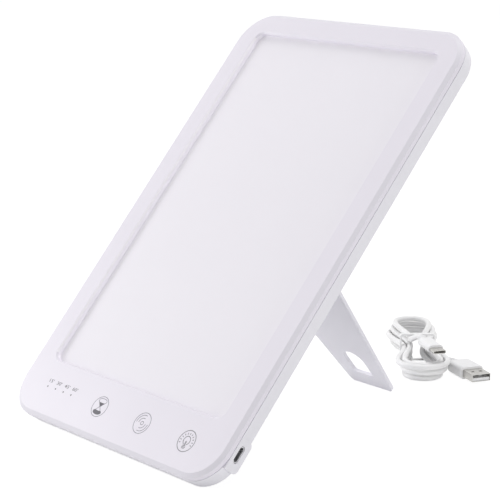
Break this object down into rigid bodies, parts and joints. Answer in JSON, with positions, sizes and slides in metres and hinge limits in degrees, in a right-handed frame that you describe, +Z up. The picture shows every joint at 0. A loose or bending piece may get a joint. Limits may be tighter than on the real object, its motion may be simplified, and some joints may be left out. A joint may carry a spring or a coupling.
{
  "type": "light therapy lamp",
  "caption": "Flat white light therapy panel with rounded corners, leaning on a fold-out kickstand, touch controls below the light window, and a tied USB cable beside it.",
  "frame": {"origin": "on the table, under the middle of the lamp's outline with the stand open, the cable left out", "axes": "+X to the lamp's right as seen from the front, +Y to the back, towards the stand's foot, +Z up; the light faces -Y and up"},
  "size_m": [0.181, 0.3002, 0.2159],
  "materials": {
    "shell_white": "satin",
    "stand_white": "satin",
    "opal_sheet": "matt",
    "clear_sheet": "polished",
    "reflector_white": "matt",
    "strip_board": "coated",
    "emitter": "gloss",
    "foam": "matt",
    "circuit_board": "gloss",
    "board_component": "matt",
    "steel": "plated",
    "lead_wire": "satin",
    "spring_steel": "plated",
    "pipe_grey": "frosted",
    "socket_metal": "plated",
    "socket_plastic": "matt",
    "washer_plastic": "matt",
    "cable_white": "satin",
    "tie_white": "satin",
    "plug_white": "satin",
    "plug_metal": "plated"
  },
  "bodies": {
    "panel": {"front_bezel": "shell_white", "back_shell": "shell_white", "diffuser": "opal_sheet", "light_guide": "clear_sheet", "reflector_sheet": "reflector_white", "light_strip_left": "strip_board", "light_strip_right": "strip_board", "emitters_left": "emitter", "emitters_right": "emitter", "foam_strips": "foam", "control_board": "circuit_board", "board_parts": "board_component", "board_screws": "steel", "strip_leads": "lead_wire", "touch_springs": "spring_steel", "timer_leds": "emitter", "timer_light_pipe": "pipe_grey", "socket_shell": "socket_metal", "socket_tongue": "socket_plastic", "case_screws": "steel", "hinge_pins": "steel", "hinge_washers": "washer_plastic", "cable_hank": "cable_white", "cable_tie": "tie_white", "cable_lead_lamp": "cable_white", "cable_lead_charger": "cable_white", "plug_lamp_relief": "plug_white", "plug_lamp_grip": "plug_white", "plug_lamp_shell": "plug_metal", "plug_charger_relief": "plug_white", "plug_charger_grip": "plug_white", "plug_charger_shell": "plug_metal", "plug_charger_insert": "plug_white"},
    "stand": {"kickstand": "stand_white"}
  },
  "joints": [
    {"name": "stand_fold", "type": "hinge", "parent": "panel", "child": "stand", "pos_m": [0, 0.0058, 0.11357], "axis": [1, 0, 0], "range_deg": [-79.89, 0]}
  ]
}
